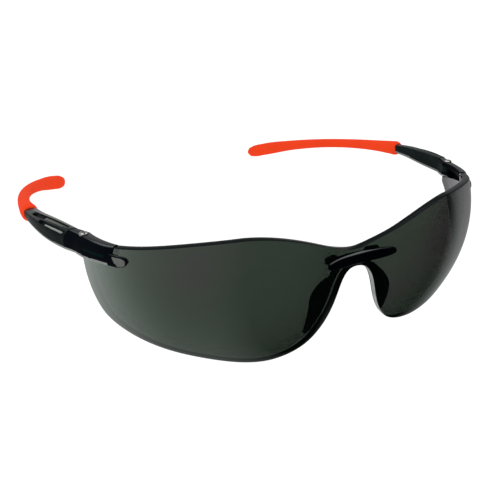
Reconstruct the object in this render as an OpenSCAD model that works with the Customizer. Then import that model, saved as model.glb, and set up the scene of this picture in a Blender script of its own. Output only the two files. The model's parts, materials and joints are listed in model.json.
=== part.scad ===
// Wraparound safety glasses: one-piece curved lens shield, clip-in nose piece,
// corner hinges and two folding temples with soft rubber sleeves.
// Millimetres. The glasses stand as they rest on a table: the two lower lobes of
// the lens and the two sleeve tips touch z = 0. +Y runs from the lens to the
// sleeve tips, +X is the wearer's left, and x = 0 is the plane of symmetry.

/* [Lens] */
// Thickness of the lens
lens_thick = 2.4; // [2.2:0.1:2.6]
// Vertical radius of the lens, its crosswise bulge
lens_radius = 47; // [44:1:54]
// Height of the brow crest above the hinge datum
brow_z = 9.7; // [9.2:0.1:10.2]
// Distance along the lens from the middle to the brow crest
brow_s = 37; // [35:1:39]
// Height of the dip in the top edge over the nose
dip_z = 0.3; // [0.1:0.1:0.6]
// Height of the lowest point of the lens
chin_z = -30.2; // [-31:0.1:-29.6]
// Distance along the lens from the middle to its lowest point
chin_s = 28.3; // [27.5:0.1:29]
// Height of the top of the nose arch
arch_z = -5.2; // [-5.6:0.1:-5.0]
// Breadth of the nose arch, its flat handle length
arch_w = 11.7; // [11.2:0.1:12.2]
// Lean of the rear edge, millimetres of rise per millimetre along the lens
rear_rise = 1.62; // [1.5:0.02:1.7]

/* [Wrap of the lens in plan] */
// Inward slant of the lens beside the nose, degrees
wrap_nose = 16; // [14:0.5:17]
// Turn at 58 mm along the lens, degrees
wrap_cheek = 34; // [33:0.5:35]
// Turn at the temple end of the lens, degrees
wrap_temple = 87; // [86:0.5:88]

/* [Hinge] */
// Diameter of the hinge screw shank
screw_d = 1.5; // [1.4:0.05:1.6]
// Diameter of the hinge screw head
screw_head_d = 2.6; // [2.4:0.1:2.8]
// Running clearance on radius between screw and temple knuckle
pin_clear = 0.05; // [0.03:0.01:0.08]
// Radius of the temple knuckle
knuckle_r = 1.9; // [1.8:0.05:1.95]

/* [Nose piece] */
// Half length of the bridge bar along the lens
bar_half = 12.1; // [11.8:0.1:12.4]
// Half height of the bridge bar in its middle
bar_half_h = 1.7; // [1.6:0.05:1.75]
// How far the soft pads stand back from the lens
pad_depth = 3; // [2.6:0.1:3.4]
// Width of the slope on the outer side of each pad
pad_slope = 2.3; // [2:0.1:2.6]

/* [Temples] */
// Length of each rubber sleeve along its curve
sleeve_len = 82.2; // [80:0.2:85]
// Inward heading of the sleeve at its tip, degrees
sleeve_curl = 45; // [42:1:48]
// Downward pitch at the start of the sleeve, degrees
sleeve_pitch = 6; // [5:0.5:7]
// Extra downward pitch gained by the tip, degrees
sleeve_droop = 10; // [9:0.5:11]
// Length of the arm's tang inside the sleeve
tang_len = 58; // [50:1:64]

/* [Hidden] */

// ---------- curves ----------
// Smooth curve through (xs, ys): cubic pieces whose slopes come from the neighbours.
function piece(xs, x, i = 0) = (i >= len(xs) - 2 || x < xs[i + 1]) ? i : piece(xs, x, i + 1);
function chord(xs, ys, i) = (ys[i + 1] - ys[i]) / (xs[i + 1] - xs[i]);
function slope(xs, ys, i) =
  i == 0 ? chord(xs, ys, 0) :
  i == len(xs) - 1 ? chord(xs, ys, i - 1) :
  let (before = xs[i] - xs[i - 1], after = xs[i + 1] - xs[i])
  (chord(xs, ys, i - 1) * after + chord(xs, ys, i) * before) / (before + after);
function curve(xs, ys, x) =
  let (i = piece(xs, x), step = xs[i + 1] - xs[i], t = (x - xs[i]) / step,
       slope0 = slope(xs, ys, i) * step, slope1 = slope(xs, ys, i + 1) * step)
  ys[i] * (2*t*t*t - 3*t*t + 1) + slope0 * (t*t*t - 2*t*t + t)
  + ys[i + 1] * (3*t*t - 2*t*t*t) + slope1 * (t*t*t - t*t);
function unit(v) = v / norm(v);

// ---------- closed shapes from rings ----------
function quad(a, b, c, d) = [[a, b, c], [a, c, d]];
function reversed(faces) = [for (f = faces) [f[0], f[2], f[1]]];
// Wall through count rings of n points, the first point being number first.
function wall(first, count, n) = [for (i = [0:count - 2]) for (j = [0:n - 1])
  let (a = first + i*n, k = (j + 1) % n) each quad(a + j, a + k, a + n + k, a + n + j)];
function fan(apex, first, n) = [for (j = [0:n - 1]) [apex, first + j, first + (j + 1) % n]];
function total(v) = [for (p = v) 1] * v;
function middle(ring) = total(ring) / len(ring);
function ring_axis(ring) =
  total([for (j = [0:len(ring) - 1]) cross(ring[j], ring[(j + 1) % len(ring)])]);
function turned(rings) = let (h = floor((len(rings) - 1) / 2))
  ring_axis(rings[h]) * (middle(rings[h + 1]) - middle(rings[h])) > 0
  ? [for (r = rings) [for (j = [len(r) - 1:-1:0]) r[j]]] : rings;
// Rings of equal length, joined side to side, with a fan on each end. Rings may
// run either way round: they are turned so that the shape is the right way out.
module loft(given) {
  rings = turned(given);
  m = len(rings);
  n = len(rings[0]);
  polyhedron(
    points = concat([for (r = rings) each r], [middle(rings[0]), middle(rings[m - 1])]),
    faces = concat(wall(0, m, n), reversed(fan(m*n, 0, n)), fan(m*n + 1, (m - 1)*n, n)));
}
// A tube closed at its far end: outer rings, then inner rings, open at the start.
module cup(outer, inner) {
  a = len(outer);
  b = len(inner);
  n = len(outer[0]);
  in = a * n;
  apex = (a + b) * n;
  polyhedron(
    points = concat([for (r = outer) each r], [for (r = inner) each r],
      [middle(outer[a - 1]), middle(inner[b - 1])]),
    faces = concat(
      wall(0, a, n),
      reversed(wall(in, b, n)),
      [for (j = [0:n - 1]) let (k = (j + 1) % n) each quad(j, in + j, in + k, k)],
      fan(apex, (a - 1)*n, n),
      reversed(fan(apex + 1, in + (b - 1)*n, n))));
}

// ---------- lens surface ----------
// s is the distance along the lens from the middle, z the height above the datum.
wrap_s = [0, 8.2, 16.5, 29, 43, 58, 72, 86.5, 103];
wrap_turn = [0, -wrap_nose, -4.7, 9, 25.3, wrap_cheek, 58.2, wrap_temple, 115];
plan_last = 92;
bulge_z = -5.15;
function turn(s) = curve(wrap_s, wrap_turn, s);
// Plan points of the front face, one per millimetre.
PLAN = [for (i = 0, p = [0, 0]; i <= plan_last;
  p = p + [cos(turn(i + 0.5)), sin(turn(i + 0.5))], i = i + 1) p];
function plan(s) = let (i = min(floor(s), plan_last - 1)) PLAN[i] + (PLAN[i + 1] - PLAN[i]) * (s - i);
function outward(s) = [sin(turn(s)), -cos(turn(s))];
function bulge(z) = -(z - bulge_z) * (z - bulge_z) / (2 * lens_radius);
// Point on the lens, out millimetres outside its front face; negative s is the right half.
function face(s, z, out = 0) =
  let (a = abs(s), c = plan(a) + outward(a) * (bulge(z) + out)) [s < 0 ? -c.x : c.x, c.y, z];

// ---------- lens outline ----------
// The upper rear corner is notched from cut_s to the rear end.
cut_s = 73.4;
end_s = 87.2;
function dip_run(s) = sqrt(s * s + 16) - 4;
function top_z(s) = s < brow_s
  ? dip_z + (brow_z - dip_z) * sin(90 * dip_run(s) / dip_run(brow_s))
  : brow_z - 3.2 * pow((s - brow_s) / 43, 1.2);
function cut_z(s) = 3.9 - 1.6 * (s - cut_s) / (end_s - cut_s);
// The nose arch is an S-curve from the top of the arch to the lowest point.
function arch(t) = let (u = 1 - t)
  [3*arch_w*t*u*u + 1.2*t*t*u + chin_s*t*t*t, arch_z + (chin_z - arch_z) * (3*t*t - 2*t*t*t)];
// Lower edge behind the lowest point, rounded into the straight rear edge.
rear_round = 7;
function low_z(s) =
  let (lower = chin_z + (-13.7 - chin_z) * pow((s - chin_s) / 50.1, 1.55),
       rear = -14.4 + (s - 78.4) * rear_rise)
  (lower + rear + sqrt((lower - rear) * (lower - rear) + rear_round)) / 2;
arch_steps = 12;
low_steps = 14;
// Each column: [s, lower z, upper z]
HALF = concat(
  [for (i = [0:arch_steps]) let (p = arch(i / arch_steps)) [p.x, p.y, top_z(p.x)]],
  [for (i = [1:low_steps]) let (s = chin_s + (cut_s - 0.2 - chin_s) * i / low_steps)
    [s, low_z(s), top_z(s)]],
  [for (s = [cut_s, 76, 78.2, 80.4, 83.6, end_s]) [s, low_z(s), cut_z(s)]]);
COLUMNS = concat([for (i = [len(HALF) - 1:-1:1]) [-HALF[i][0], HALF[i][1], HALF[i][2]]], HALF);

// ---------- temple path ----------
// The arm is shaped by curves along y, up to its rear end at arm_end.
arm_end = 66.2;
function arm_in(y) = curve([37, 50, 60, 67], [68.1, 70.4, 72.1, 72.7], y);
function arm_out(y) = curve([37, 44, 50, 60, 67], [72.4, 74.4, 75.5, 76.4, 76.5], y);
function arm_top(y) = curve([37, 50, 60, 67], [8.0, 7.3, 6.5, 5.9], y);
function arm_bot(y) = curve([37, 50, 60, 67], [2.1, 2.2, 2.5, 2.6], y);
// Centre line of the sleeve: heading turns inward, pitch turns down; t runs 0 to 1.
path_steps = 40;
start_heading = 2.5;
function heading(t) = start_heading + (sleeve_curl - start_heading) * pow(t, 1.2);
function pitch(t) = -(sleeve_pitch + sleeve_droop * pow(t, 1.5));
function way(t) =
  [-sin(heading(t)) * cos(pitch(t)), cos(heading(t)) * cos(pitch(t)), sin(pitch(t))];
PATH = [for (i = 0, p = [74.6, arm_end, 4.3]; i <= path_steps;
  p = p + way((i + 0.5) / path_steps) * sleeve_len / path_steps, i = i + 1) p];
function path(t) = let (u = max(0, min(t, 0.99999)) * path_steps, i = floor(u))
  PATH[i] + (PATH[i + 1] - PATH[i]) * (u - i);
// Ring of 12 points square to the path.
function oval(t, half_w, half_h) =
  let (d = way(max(0, t)), side = unit([d.y, -d.x, 0]), up = cross(side, d))
  [for (k = [0:11]) let (g = 30 * (k + 0.5)) path(t) + side * half_w * cos(g) + up * half_h * sin(g)];
// Sleeve stations, with half width and half height at each.
sleeve_t = [0, 0.012, 0.05, 0.12, 0.3, 0.5, 0.72, 0.9, 0.965, 0.992, 1];
sleeve_ws = [2.1, 2.45, 2.5, 2.2, 1.9, 1.85, 1.95, 2.1, 1.85, 1.1, 0.45];
sleeve_hs = [2.2, 2.65, 2.65, 2.35, 1.95, 1.9, 2.25, 2.75, 2.45, 1.5, 0.55];
function sleeve_half_w(t) = curve(sleeve_t, sleeve_ws, t);
function sleeve_half_h(t) = curve(sleeve_t, sleeve_hs, t);
tang_t = tang_len / sleeve_len;

// ---------- rest attitude ----------
// The worn frame leans back until lens lobes and sleeve tips share one plane.
low_pt = face(chin_s, chin_z, -lens_thick);
tip_t = 0.975;
tip_pt = path(tip_t) - [0, 0, sleeve_half_h(tip_t)];
lean = atan2(tip_pt.z - low_pt.z, tip_pt.y - low_pt.y);
lift = -(low_pt.z * cos(lean) - low_pt.y * sin(lean));
// y = 0 lies halfway between front_y and the end of the sleeve path.
front_y = -3.645;
tail_pt = path(1);
back = -(tail_pt.y * cos(lean) + tail_pt.z * sin(lean) + front_y) / 2;
module rest() translate([0, back, lift]) rotate([-lean, 0, 0]) children();
module right() mirror([1, 0, 0]) children();
module both_sides() {
  children();
  right() children();
}

// ---------- tabs ----------
// Two tabs on the bridge bar pass through the lens into the nose piece carrier.
tab_s = 6.6;
tab_z = -2.35;
tab_w = 2.2;
tab_h = 1.2;
// The two tabs, larger by clear in width and height, square to the lens, from
// depth d0 to depth d1 behind the front face.
module tabs(clear, d0, d1) both_sides()
  translate([plan(tab_s).x, plan(tab_s).y, tab_z]) rotate([0, 0, turn(tab_s)])
    translate([-(tab_w + clear) / 2, d0, -(tab_h + clear) / 2])
      cube([tab_w + clear, d1 - d0, tab_h + clear]);

// ---------- lens ----------
// Front and back grids of rows + 1 points per column, joined round the edge.
module lens_body() {
  rows = 8;
  last = len(COLUMNS) - 1;
  back0 = len(COLUMNS) * (rows + 1);
  function id(i, j) = i * (rows + 1) + j;
  function grid(out) = [for (c = COLUMNS) for (j = [0:rows])
    face(c[0], c[1] + (c[2] - c[1]) * j / rows, out)];
  function edge(a, b) = quad(a, b, back0 + b, back0 + a);
  front = [for (i = [0:last - 1]) for (j = [0:rows - 1])
    each quad(id(i, j), id(i, j + 1), id(i + 1, j + 1), id(i + 1, j))];
  polyhedron(
    points = concat(grid(0), grid(-lens_thick)),
    faces = concat(
      front,
      reversed([for (f = front) f + back0 * [1, 1, 1]]),
      [for (i = [0:last - 1]) each edge(id(i, 0), id(i + 1, 0))],
      [for (i = [0:last - 1]) each reversed(edge(id(i, rows), id(i + 1, rows)))],
      [for (j = [0:rows - 1]) each reversed(edge(id(0, j), id(0, j + 1)))],
      [for (j = [0:rows - 1]) each edge(id(last, j), id(last, j + 1))]));
}
module lens_shield() color([0.22, 0.25, 0.23, 0.75]) rest() difference() {
  lens_body();
  tabs(0.4, -3, 5);
}

// ---------- hinge places ----------
hinge_x = 68.0;
hinge_y = 33.1;
seam_y = 37.5; // between endpiece and arm
pocket_lo = 3.85;
pocket_hi = 6.3;
screw_top = 8.15;
head_z = 7.3;
insert_d = 2.84;
fit_gap = 0.12; // between the lens and the parts fitted to it
module at_hinge(z) translate([hinge_x, hinge_y, z]) children();

// ---------- endpiece ----------
// Teardrop lobe lying on the front of the lens.
lobe_s = [68.1, 68.5, 69.2, 70.5, 72.2, 74.6, 78, 82, 86, end_s];
lobe_gap = 0.1;
function lobe_lo(s) =
  curve([68.1, 68.5, 69.2, 70.5, 74, 78, 84, 88], [4.3, 3.6, 2.95, 2.6, 2.5, 2.3, 1.8, 1.7], s);
function lobe_hi(s) =
  curve([68.1, 68.5, 69.2, 71, 74, 78, 88], [4.5, 5.0, 5.35, 5.4, 5.6, 6.1, 6.2], s);
function lobe_thick(s) = curve([68.1, 69.2, 72, 78, 84, 88], [0.35, 0.65, 1.0, 1.3, 1.9, 2.5], s);
module lobe() loft([for (s = lobe_s)
  let (lo = lobe_lo(s), hi = lobe_hi(s), mid = (lo + hi) / 2, t = lobe_thick(s)) [
    face(s, lo, lobe_gap), face(s, mid, lobe_gap), face(s, hi, lobe_gap),
    face(s, hi - 0.05, lobe_gap + 0.45 * t), face(s, mid + 0.28 * (hi - lo), 0.85 * t),
    face(s, mid, t), face(s, mid - 0.3 * (hi - lo), 0.92 * t),
    face(s, lo + 0.05, lobe_gap + 0.5 * t)]]);
// Upright section from inner to outer distance along dir, from height lo to hi.
function core_ring(origin, dir, inner, outer, lo, hi) = [for (p = [
  [outer - 0.5, lo], [outer, lo + 0.7], [outer, 4.8], [outer - 0.3, 6.2], [outer - 0.9, 7.1],
  [outer - 2.0, hi - 0.05], [inner + 0.4, hi - 0.1], [inner, hi - 0.5], [inner, 4.6],
  [inner, lo + 0.3], [inner + 0.3, lo]]) [origin.x + dir.x * p[0], origin.y + dir.y * p[0], p[1]]];
// Core that fills the notched corner of the lens and carries the hinge.
module core() loft(concat(
  [for (s = [cut_s + 0.15, 75.5, 78, 80.5, 83, 85.2, end_s + 0.2])
    core_ring(plan(s), outward(s),
      curve([73, 79, 88], [-4.0, -3.7, -3.2], s),
      curve([73, 75, 79, 83, 88], [-0.85, -0.2, 0.35, 0.85, 1.9], s),
      cut_z(s) + fit_gap, curve([73, 80, 88], [7.35, 7.6, 7.8], s))],
  [core_ring([0, hinge_y + 1.3], [1, 0], 66.4, 71.2, 2.1, 7.85),
   core_ring([0, seam_y], [1, 0], 68.0, 72.5, 2.1, 8.0)]));
// Slot for the knuckle, open to the inner side and the rear.
module pocket() translate([0, 0, pocket_lo]) linear_extrude(height = pocket_hi - pocket_lo)
  polygon([[60, 29.5], [60, 45], [71.0, 45], [71.0, seam_y], [70.05, hinge_y],
    [69.65, hinge_y - 1.2], [68.9, hinge_y - 2.4], [68.3, 29.5]]);
// Ahead of the knuckle the inner side is open down to the notched edge of the lens.
module hollow() linear_extrude(height = 5.7)
  polygon(concat([[60, 29.6]],
    [for (s = [83, 80, 77, 74, 71.5]) plan(s) - 1.7 * outward(s)], [[57, 17]]));
module endpiece_body() difference() {
  union() {
    core();
    lobe();
  }
  pocket();
  hollow();
  at_hinge(0) cylinder(h = 20, d = screw_d + 0.1, $fn = 32);
  at_hinge(head_z - 0.05) cylinder(h = 5, d = screw_head_d + 0.1, $fn = 32);
  at_hinge(-1) cylinder(h = 6, d = insert_d + 0.06, $fn = 32);
}
module endpiece_left() color([0.08, 0.09, 0.1]) rest() endpiece_body();
module endpiece_right() color([0.08, 0.09, 0.1]) rest() right() endpiece_body();

// ---------- hinge screw and threaded insert ----------
// Shank, head with chamfered rim, and driver slot.
module screw_body() at_hinge(0) difference() {
  union() {
    translate([0, 0, 2.65]) cylinder(h = 4.95, d = screw_d, $fn = 32);
    translate([0, 0, head_z])
      cylinder(h = screw_top - 0.25 - head_z, d = screw_head_d, $fn = 32);
    translate([0, 0, screw_top - 0.26])
      cylinder(h = 0.26, d1 = screw_head_d, d2 = screw_head_d - 0.7, $fn = 32);
  }
  translate([-0.2, -2, screw_top - 0.4]) cube([0.4, 4, 1]);
}
module hinge_screw_left() color("silver") rest() screw_body();
module hinge_screw_right() color("silver") rest() right() screw_body();
module insert_body() at_hinge(2.62) difference() {
  cylinder(h = 1.18, d = insert_d, $fn = 32);
  translate([0, 0, -1]) cylinder(h = 4, d = screw_d + 0.06, $fn = 32);
}
module hinge_insert_left() color([0.75, 0.6, 0.3]) rest() insert_body();
module hinge_insert_right() color([0.75, 0.6, 0.3]) rest() right() insert_body();

// ---------- nose piece ----------
// Bridge bar across the front of the lens.
function bar_h(s) = bar_half_h * sqrt(1 - pow(abs(s) / (bar_half + 0.75), 4));
function bar_thick(s) = 0.95 + 1.0 * pow(cos(min(90, 6.6 * abs(s))), 1.5);
// Each row: [height above the bar's centre / half height, share of the thickness]
BAR = [[-1, 0], [-1, 0.5], [-0.5, 0.92], [0.2, 1], [0.8, 0.75], [1, 0.3], [1, 0]];
module bar_body() {
  loft([for (i = [-9:9])
    let (s = bar_half * sin(10 * i), mid = -2.3 + 0.5 * pow(s / bar_half, 2))
    [for (p = BAR) face(s, mid + p[0] * bar_h(s), fit_gap + p[1] * bar_thick(s))]]);
  tabs(0, -0.9, 3.3);
}
module nose_bridge_bar() color([0.03, 0.03, 0.03]) rest() bar_body();

// Point a given depth behind the back face of the lens.
function behind(s, z, depth = fit_gap) = face(s, z, -lens_thick - depth);
// Nasal edge of the lens and outer edge of the wing as functions of height.
// arch_t is the arch parameter at height z.
function arch_t(z) = let (k = (arch_z - z) / (arch_z - chin_z))
  k <= 0 ? 0 : 0.5 - sin(asin(max(-1, 1 - 2 * k)) / 3);
function nasal(z) = arch(arch_t(z)).x;
function wing_out(z) = curve([-25.4, -23.5, -20.5, -17, -13.4, -10.3, -8.2, -6.4],
  [13.45, 13.85, 14.2, 14.1, 13.3, 11.1, 9.1, 7.2], z);
// Thin wing behind the lens, beside the nose arch.
module wing() loft([for (z = [-25.2, -23.8, -21.5, -18, -14.5, -11, -8.4, -6.4])
  let (a = nasal(z) + 0.12, b = wing_out(z), mid = (a + b) / 2) [
    behind(a, z), behind(a, z, 0.8), behind(mid, z, 0.9), behind(b - 0.25, z, 0.85),
    behind(b, z, 0.45), behind(b - 0.15, z), behind(mid, z)]]);
// Saddle behind the lens that takes the two tabs of the bar.
function saddle_hi(s) = -2.6 + 1.2 * max(0, min(1, (abs(s) - 4.2) / 0.8));
function saddle_lo(s) = let (a = abs(s)) a > 8.2 ? -3.1 : a > 6.5 ? -3.35 : a > 3 ? -5.0 : -4.7;
saddle_s = [0, 1.6, 3.2, 4.2, 5.0, 6.0, 7.0, 8.1, 8.4];
module saddle() loft([for (i = [-8:8])
  let (s = sign(i) * saddle_s[abs(i)], lo = saddle_lo(s), ease = abs(s) > 8.2 ? 0.2 : 0,
       hi = saddle_hi(s) - ease) [
    behind(s, lo), behind(s, hi), behind(s, hi, 1.7 - ease), behind(s, lo, 1.7 - ease)]]);
// Stem between the saddle and the top of a wing.
module stem() loft([for (z = [-8.0, -6.2, -4.6, -3.2])
  let (a = z < -5.1 ? nasal(z) + 0.4 : 3.4 - (z + 5.1) * 0.3,
       b = curve([-8, -6, -3], [8.0, 6.3, 6.0], z))
  [behind(a, z), behind(a, z, 1.2), behind(b, z, 1.2), behind(b, z)]]);
module nose_piece_carrier() color([0.1, 0.1, 0.12]) rest() difference() {
  union() {
    saddle();
    both_sides() {
      wing();
      stem();
    }
  }
  tabs(0.1, 2, 5);
}
// Soft pad on the back of each wing: a wedge whose inner side meets the nose.
function pad_thick(z) = curve([-25.5, -24.8, -21, -17, -13, -10, -8.4, -7],
  [0.5, 0.8, 1.4, 0.7 * pad_depth, pad_depth, 0.8 * pad_depth, 1.3, 0.8], z);
module pad_body() loft([for (z = [-25.3, -24.8, -23.6, -21.5, -18.5, -15.5, -12.5, -10.4, -9, -8.25])
  let (a = nasal(z) + 0.25, b = wing_out(z) - 0.25, d = pad_thick(z), base = 1.0,
       crest = b - min(pad_slope, 0.45 * (b - a))) [
    behind(a, z, base), behind(a + 0.3 * (crest - a), z, base + 0.36 * d),
    behind(a + 0.7 * (crest - a), z, base + 0.76 * d), behind(crest, z, base + d),
    behind(b - 0.4 * (b - crest), z, base + 0.74 * d),
    behind(b - 0.1 * (b - crest), z, base + 0.34 * d),
    behind(b, z, base + 0.12 * d), behind(b - 0.08, z, base)]]);
module nose_pad_left() color([0.12, 0.12, 0.13]) rest() pad_body();
module nose_pad_right() color([0.12, 0.12, 0.13]) rest() right() pad_body();

// ---------- temple arm ----------
// The top is a low ridge that falls away to the outer rim.
function arm_fall(y) = curve([37, 46, 55, 67], [1.9, 1.2, 0.7, 0.3], y);
function arm_ridge(y) = curve([37, 46, 58, 67], [0.15, 0.5, 0.4, 0.05], y);
// Height of the top at y, k of the width from the inner side.
function arm_over(y, k) = let (r = arm_ridge(y), d = arm_fall(y))
  arm_top(y) + curve([0, 0.3, 0.5, 0.74, 1], [0, 0.7 * r, r, 0.35 * (r - d), -d], k);
// Section across the arm at y.
function arm_ring(y) =
  let (a = arm_in(y), b = arm_out(y), top = arm_top(y), low = arm_bot(y), rim = top - arm_fall(y))
  [for (p = concat([[a, low + 0.5], [a, top - 0.35], [a + 0.2, top - 0.03]],
    [for (k = [0.3, 0.5, 0.74]) [a + k * (b - a), arm_over(y, k)]],
    [[b - 0.15, rim], [b, rim - 0.9], [b - 0.05, low + 0.9], [b - 0.5, low + 0.05],
     [b - 1.2, low - 0.05], [a + 0.5, low]])) [p[0], y, p[1]]];
// The rear end face stands square to the start of the sleeve.
function squared(ring) = let (w = way(0), c = PATH[0])
  [for (p = ring) [p.x, p.y - (w.x * (p.x - c.x) + w.z * (p.z - c.z)) / w.y, p.z]];
// Shallow groove along the top; each row is [y, inner side, outer side] in fractions of the width.
groove_d = 0.8;
module groove(rows) loft([for (row = rows) let (y = row[0], a = arm_in(y), w = arm_out(y) - a)
  [for (p = [[row[1], -groove_d], [row[2], -groove_d], [row[2], 1.2], [row[1], 1.2]])
    [a + p[0] * w, y, arm_over(y, p[0]) + p[1]]]]);
// Core of the sleeve, starting tang_root before the path to bite into the arm.
tang_root = 0.035;
module tang() loft([for (t = concat([-tang_root], [for (i = [0:9]) tang_t * i / 9]))
  let (k = t > tang_t - 0.001 ? 0.8 : 1, shift = t < 0 ? -tang_root * sleeve_len : 0)
  [for (p = oval(t, 1.2 * k, 1.15 * k)) p + way(0) * shift]]);
module knuckle() {
  gap = 0.05;
  height = pocket_hi - pocket_lo - 2 * gap;
  at_hinge(pocket_lo + gap) cylinder(h = height, r = knuckle_r, $fn = 48);
  translate([0, 0, pocket_lo + gap]) linear_extrude(height = height)
    polygon([[hinge_x - knuckle_r, hinge_y], [hinge_x + knuckle_r, hinge_y],
      [70.75, seam_y + 0.6], [68.4, seam_y + 0.6], [66.9, hinge_y + 2.6]]);
}
module arm_body() difference() {
  union() {
    loft(concat([for (y = [seam_y + 0.15, 41, 45, 50, 54.5, 58.6, 62]) arm_ring(y)],
      [squared(arm_ring(arm_end))]));
    tang();
    knuckle();
  }
  groove([[38.9, 0.28, 0.6], [43, 0.3, 0.61], [47, 0.34, 0.64],
    [52, 0.4, 0.7], [56, 0.45, 0.77], [60, 0.5, 0.82]]);
  groove([[38.9, 0.69, 0.9], [43, 0.7, 0.9], [47, 0.73, 0.92], [52.5, 0.78, 0.95]]);
  at_hinge(0) cylinder(h = 12, d = screw_d + 2 * pin_clear, $fn = 48);
}
module temple_arm_left() color([0.3, 0.33, 0.32]) rest() arm_body();
module temple_arm_right() color([0.3, 0.33, 0.32]) rest() right() arm_body();

// ---------- temple sleeve ----------
function sleeve_ring(t, half_w, half_h) = [for (p = oval(t, half_w, half_h)) p + way(0) * 0.1];
module sleeve_body() cup(
  [for (t = sleeve_t) sleeve_ring(t, sleeve_half_w(t), sleeve_half_h(t))],
  [for (i = [0:10]) sleeve_ring(min((tang_t + 0.012) * i / 10, 1), 1.38, 1.33)]);
module temple_sleeve_left() color([0.94, 0.26, 0.14]) rest() sleeve_body();
module temple_sleeve_right() color([0.94, 0.26, 0.14]) rest() right() sleeve_body();

lens_shield();
endpiece_left();
endpiece_right();
hinge_screw_left();
hinge_screw_right();
hinge_insert_left();
hinge_insert_right();
nose_bridge_bar();
nose_piece_carrier();
nose_pad_left();
nose_pad_right();
temple_arm_left();
temple_arm_right();
temple_sleeve_left();
temple_sleeve_right();
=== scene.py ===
"""Rimless wraparound glasses: one smoke shield lens, two end pieces, a nose bar and pads, and
two temple arms with orange rubber sleeves, on a pale studio floor.

Shapes are written in the worn frame, in millimetres: +x is the wearer's left, +y runs back
towards the ears, +z is up and parallel to the hinge axis. rest() leans them to the resting
pose, in metres. The left side is modelled and the right side is its mirror image.
"""
import json
import math
from functools import cached_property

import bpy
import bmesh
from mathutils import Vector, Matrix


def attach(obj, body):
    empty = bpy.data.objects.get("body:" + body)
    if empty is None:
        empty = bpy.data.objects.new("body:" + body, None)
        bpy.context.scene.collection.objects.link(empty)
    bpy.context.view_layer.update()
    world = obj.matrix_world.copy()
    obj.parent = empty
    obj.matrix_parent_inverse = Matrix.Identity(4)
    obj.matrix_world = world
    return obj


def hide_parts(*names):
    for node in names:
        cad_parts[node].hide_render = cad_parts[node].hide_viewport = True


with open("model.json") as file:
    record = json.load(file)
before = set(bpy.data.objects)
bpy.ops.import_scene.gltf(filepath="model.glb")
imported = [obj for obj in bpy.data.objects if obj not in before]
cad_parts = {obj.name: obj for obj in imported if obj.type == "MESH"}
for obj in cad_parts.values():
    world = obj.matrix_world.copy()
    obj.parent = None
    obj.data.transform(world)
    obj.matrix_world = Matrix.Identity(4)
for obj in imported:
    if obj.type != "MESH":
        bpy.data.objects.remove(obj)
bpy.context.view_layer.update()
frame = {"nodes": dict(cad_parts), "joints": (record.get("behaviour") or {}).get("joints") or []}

scene = bpy.context.scene
SIDES = ((1, "left"), (-1, "right"))

# ------------------------------------------------------------------ resting pose
HINGE_X, HINGE_Y, HINGE_Z = 68.0, 33.1, 5.35     # left hinge in the worn frame
joints = {joint["name"]: joint for joint in frame["joints"]}
hinge = joints["temple_left_fold"]
hinge_axis = Vector(hinge["axis"]).normalized()
LEAN_SIN, LEAN_COS = hinge_axis.y, hinge_axis.z
hinge_rest = Vector(hinge["pos_m"]) * 1000.0
BACK = hinge_rest.y - (HINGE_Y * LEAN_COS + HINGE_Z * LEAN_SIN)
LIFT = hinge_rest.z - (-HINGE_Y * LEAN_SIN + HINGE_Z * LEAN_COS)


def lean(v):
    """A worn-frame direction turned to the resting pose."""
    return Vector((v[0], v[1] * LEAN_COS + v[2] * LEAN_SIN, -v[1] * LEAN_SIN + v[2] * LEAN_COS))


def rest(point):
    """A worn-frame point in millimetres placed in the resting pose, in metres."""
    leant = lean(point)
    return Vector((leant.x, leant.y + BACK, leant.z + LIFT)) / 1000.0


# ------------------------------------------------------------------ curves
def sin_deg(angle):
    return math.sin(math.radians(angle))


def cos_deg(angle):
    return math.cos(math.radians(angle))


def mix(start, end, share):
    return start + (end - start) * share


def steps(start, end, count):
    """Evenly spaced values from start to end, both included."""
    return [mix(start, end, i / count) for i in range(count + 1)]


def cubic(start, leaving, end, arriving, t):
    """Cubic from start to end with the given slopes per unit of t."""
    t2, t3 = t * t, t * t * t
    return (start * (2 * t3 - 3 * t2 + 1) + leaving * (t3 - 2 * t2 + t)
            + end * (3 * t2 - 2 * t3) + arriving * (t3 - t2))


def slope(xs, ys, i):
    """Slope of the smooth curve at its i-th point."""
    if i == 0:
        return (ys[1] - ys[0]) / (xs[1] - xs[0])
    if i == len(xs) - 1:
        return (ys[i] - ys[i - 1]) / (xs[i] - xs[i - 1])
    before, after = xs[i] - xs[i - 1], xs[i + 1] - xs[i]
    rise_before = (ys[i] - ys[i - 1]) / before * after
    rise_after = (ys[i + 1] - ys[i]) / after * before
    return (rise_before + rise_after) / (before + after)


def curve(table, x):
    """Smooth curve through a table of (stations, values), read at x."""
    xs, ys = table
    i = 0
    while i < len(xs) - 2 and x >= xs[i + 1]:
        i += 1
    width = xs[i + 1] - xs[i]
    return cubic(ys[i], slope(xs, ys, i) * width, ys[i + 1], slope(xs, ys, i + 1) * width,
                 (x - xs[i]) / width)


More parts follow.
